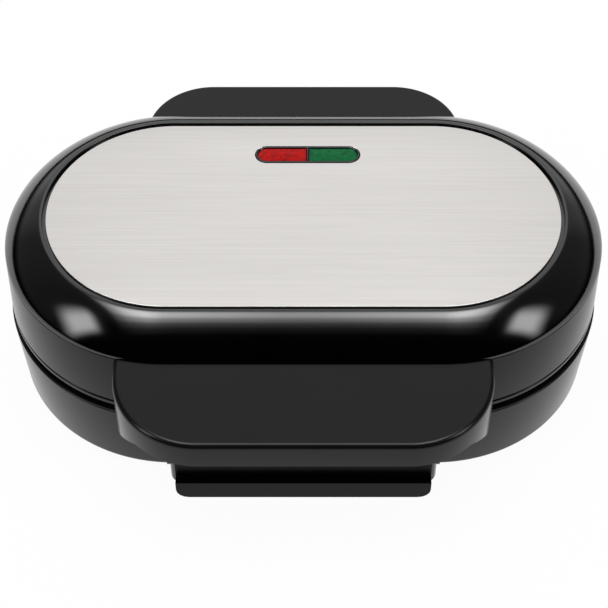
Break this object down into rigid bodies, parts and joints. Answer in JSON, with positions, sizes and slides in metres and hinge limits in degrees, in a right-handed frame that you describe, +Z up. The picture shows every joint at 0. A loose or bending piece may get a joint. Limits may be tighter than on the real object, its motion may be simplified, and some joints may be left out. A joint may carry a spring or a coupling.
{
  "type": "sandwich maker",
  "caption": "Oval countertop sandwich maker with a hinged lid, locking clip, steel-topped lid, ridged cooking plates and inner heaters.",
  "frame": {"origin": "centre of the bounding box at the table, under the feet", "axes": "+X to the right along the oval's length, -Y towards the handles at the front, +Z up"},
  "size_m": [0.2516, 0.1996, 0.088],
  "materials": {
    "gloss_black": "high gloss moulding",
    "satin_black": "satin moulding",
    "brushed_steel": "brushed along the length",
    "nonstick_black": "non-stick coated casting",
    "plain_steel": "plain",
    "bright_sheet": "bright sheet",
    "red_lens": "clear red",
    "green_lens": "clear green",
    "lamp_glass": "clear",
    "ceramic": "unglazed",
    "rubber": "matt"
  },
  "bodies": {
    "base": {"lower_housing": "satin_black", "lower_handle": "satin_black", "hinge_block": "satin_black", "hinge_pin_left": "plain_steel", "hinge_pin_right": "plain_steel", "cord_gland": "rubber", "lower_cooking_plate": "nonstick_black", "lower_heater": "plain_steel", "lower_heater_clamp_left": "plain_steel", "lower_heater_clamp_right": "plain_steel", "lower_reflector": "bright_sheet", "terminal_block": "ceramic", "foot_front_left": "rubber", "foot_front_right": "rubber", "foot_rear_left": "rubber", "foot_rear_right": "rubber"},
    "lid": {"top_cover": "gloss_black", "steel_plate": "brushed_steel", "lamp_frame": "gloss_black", "red_lens": "red_lens", "green_lens": "green_lens", "lamp_holder": "satin_black", "red_lamp": "lamp_glass", "green_lamp": "lamp_glass", "upper_housing": "satin_black", "upper_handle": "satin_black", "handle_underside": "satin_black", "hinge_cover": "satin_black", "latch_rod": "plain_steel", "upper_cooking_plate": "nonstick_black", "upper_heater": "plain_steel", "upper_heater_clamp_left": "plain_steel", "upper_heater_clamp_right": "plain_steel", "upper_reflector": "bright_sheet", "thermostat": "ceramic", "thermal_fuse": "ceramic"},
    "clip": {"latch_clip": "gloss_black"}
  },
  "joints": [
    {"name": "lid_hinge", "type": "hinge", "parent": "base", "child": "lid", "pos_m": [0, 0.0882, 0.04225], "axis": [-1, 0, 0], "range_deg": [0, 100]},
    {"name": "clip_pivot", "type": "hinge", "parent": "lid", "child": "clip", "pos_m": [0, -0.0911, 0.0552], "axis": [-1, 0, 0], "range_deg": [-10, 75]}
  ]
}
